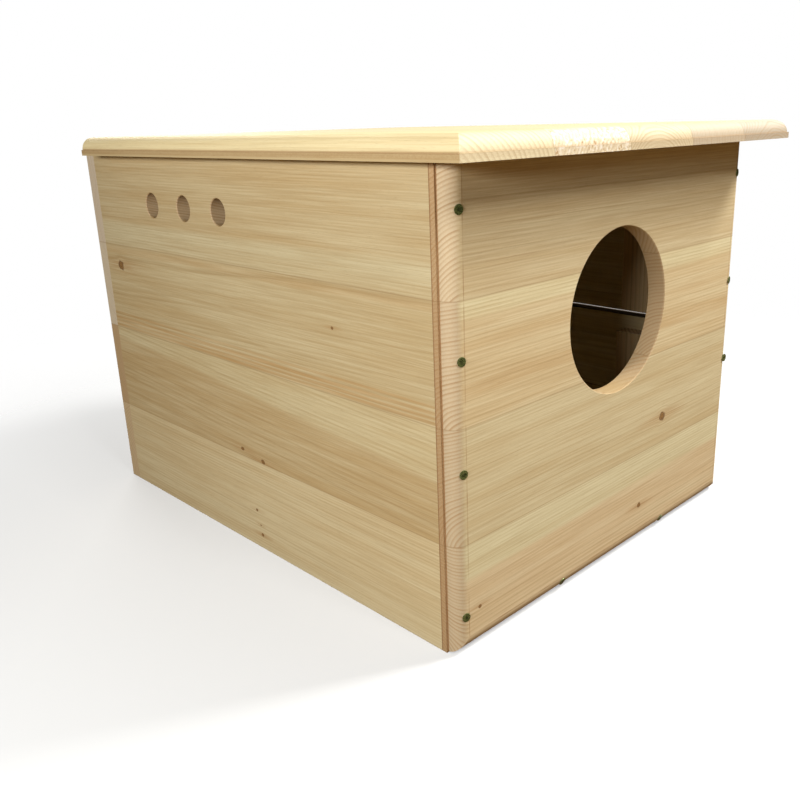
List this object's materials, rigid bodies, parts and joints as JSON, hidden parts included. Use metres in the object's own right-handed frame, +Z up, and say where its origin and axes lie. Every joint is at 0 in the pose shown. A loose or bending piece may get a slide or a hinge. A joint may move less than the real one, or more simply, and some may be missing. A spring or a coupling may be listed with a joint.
{
  "type": "barn owl nest box",
  "caption": "Pine nest box for barn owls with a round entrance, air holes, an overhanging routed roof and a swing-out clean-out door in one side.",
  "frame": {"origin": "on the ground at the middle of the box's footprint (the floor's underside)", "axes": "+Z up; -Y towards the entrance; +X to the right seen from the entrance side looking in, towards the clean-out door"},
  "size_m": [0.508, 0.6258, 0.4254],
  "materials": {
    "roof_pine": "planed pine, routed edge",
    "front_pine": "planed pine, routed edge",
    "side_pine": "planed pine",
    "back_pine": "planed pine",
    "floor_pine": "planed pine",
    "batten_pine": "planed pine",
    "screw_steel": "green coated deck screw"
  },
  "bodies": {
    "box": {"back_board_1": "back_pine", "back_board_2": "back_pine", "back_board_3": "back_pine", "back_board_4": "back_pine", "floor_board_1": "floor_pine", "floor_board_2": "floor_pine", "floor_board_3": "floor_pine", "floor_board_4": "floor_pine", "front_board_1": "front_pine", "front_board_2": "front_pine", "front_board_3": "front_pine", "front_board_4": "front_pine", "left_wall_board_1": "side_pine", "left_wall_board_2": "side_pine", "left_wall_board_3": "side_pine", "left_wall_board_4": "side_pine", "pivot_screw_back": "screw_steel", "pivot_screw_front": "screw_steel", "right_wall_board_3": "side_pine", "right_wall_board_4": "side_pine", "roof_board_1": "roof_pine", "roof_board_2": "roof_pine", "roof_board_3": "roof_pine", "roof_board_4": "roof_pine", "roof_board_5": "roof_pine", "wall_batten_back": "batten_pine", "wall_batten_front": "batten_pine"},
    "cleanout_door": {"door_batten_back": "batten_pine", "door_batten_front": "batten_pine", "door_board_1": "side_pine", "door_board_2": "side_pine"}
  },
  "joints": [
    {"name": "door_swing", "type": "hinge", "parent": "box", "child": "cleanout_door", "pos_m": [0.2191, 0, 0.166], "axis": [0, -1, 0], "range_deg": [0, 90]}
  ]
}
